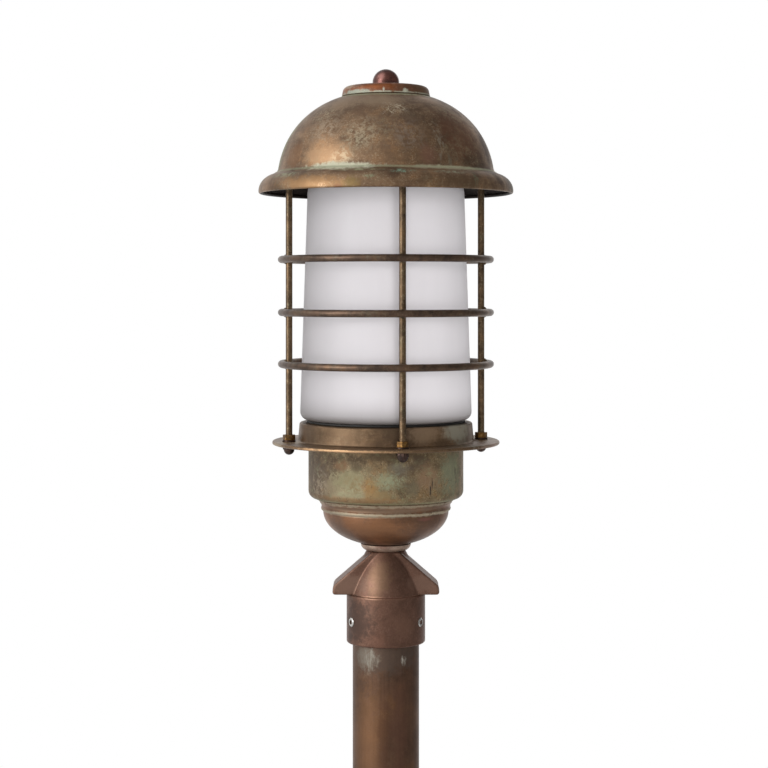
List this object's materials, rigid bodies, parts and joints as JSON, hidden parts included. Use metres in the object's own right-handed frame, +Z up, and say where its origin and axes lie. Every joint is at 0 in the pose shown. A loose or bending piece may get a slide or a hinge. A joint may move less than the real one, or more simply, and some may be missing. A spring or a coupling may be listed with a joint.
{
  "type": "outdoor lantern",
  "caption": "Outdoor post lantern with a domed hood, a tapered opal glass in a round wire cage and a winged cap on a plain tube pole with a round ground flange.",
  "frame": {"origin": "middle of the underside of the base flange, on the ground", "axes": "+Z up along the pole, -Y towards the viewer of the picture, +X to the viewer's right, along the wings of the post cap"},
  "size_m": [0.2302, 0.2302, 0.9994],
  "materials": {
    "cast_brass": "aged brown patina, satin",
    "tube_brass": "drawn tube, aged brown patina",
    "spun_brass": "spun sheet, brown patina with fine turning lines",
    "spun_copper": "aged copper, reddish brown",
    "verdigris_brass": "khaki patina with green verdigris",
    "cage_brass": "drawn rod and wire, brown patina",
    "fitting_brass": "machined, lightly tarnished",
    "stainless": "machined, bright",
    "zinc_steel": "zinc plated sheet",
    "opal_glass": "opal white, satin",
    "lamp_glass": "frosted white envelope",
    "porcelain": "white glaze",
    "seal_rubber": "black, matt",
    "terminal_plastic": "natural",
    "lead_sleeve": "heat-resistant sleeve"
  },
  "bodies": {
    "root": {"base_flange": "cast_brass", "pole": "tube_brass", "post_cap": "cast_brass", "set_screws": "stainless", "stem_nipple": "fitting_brass", "stem_nut_lower": "fitting_brass", "stem_nut_upper": "fitting_brass", "neck_disc": "cast_brass", "base_bowl": "spun_brass", "lamp_canister": "verdigris_brass", "chassis_plate": "zinc_steel", "cable_grommet": "seal_rubber", "terminal_block": "terminal_plastic", "earth_screw": "fitting_brass", "holder_bracket": "zinc_steel", "bracket_screws": "fitting_brass", "holder_nipple": "fitting_brass", "holder_nut": "fitting_brass", "lamp_holder": "porcelain", "holder_shell": "fitting_brass", "bulb": "lamp_glass", "lamp_leads": "lead_sleeve", "glass_collar": "cast_brass", "collar_screws": "fitting_brass", "glass_gasket": "seal_rubber", "glass_diffuser": "opal_glass", "cage_rod_front": "cage_brass", "cage_rod_right": "cage_brass", "cage_rod_back": "cage_brass", "cage_rod_left": "cage_brass", "cage_ring_lower": "cage_brass", "cage_ring_middle": "cage_brass", "cage_ring_upper": "cage_brass", "flange_washers": "fitting_brass", "flange_nuts": "fitting_brass", "acorn_nuts": "fitting_brass", "hood_spider": "fitting_brass", "spider_nuts": "fitting_brass", "hood_stud": "fitting_brass", "stud_nuts": "fitting_brass", "crown_washer": "fitting_brass", "dome_hood": "spun_brass", "cap_seal": "seal_rubber", "top_cap": "spun_copper", "finial_nut": "spun_copper"}
  },
  "joints": []
}
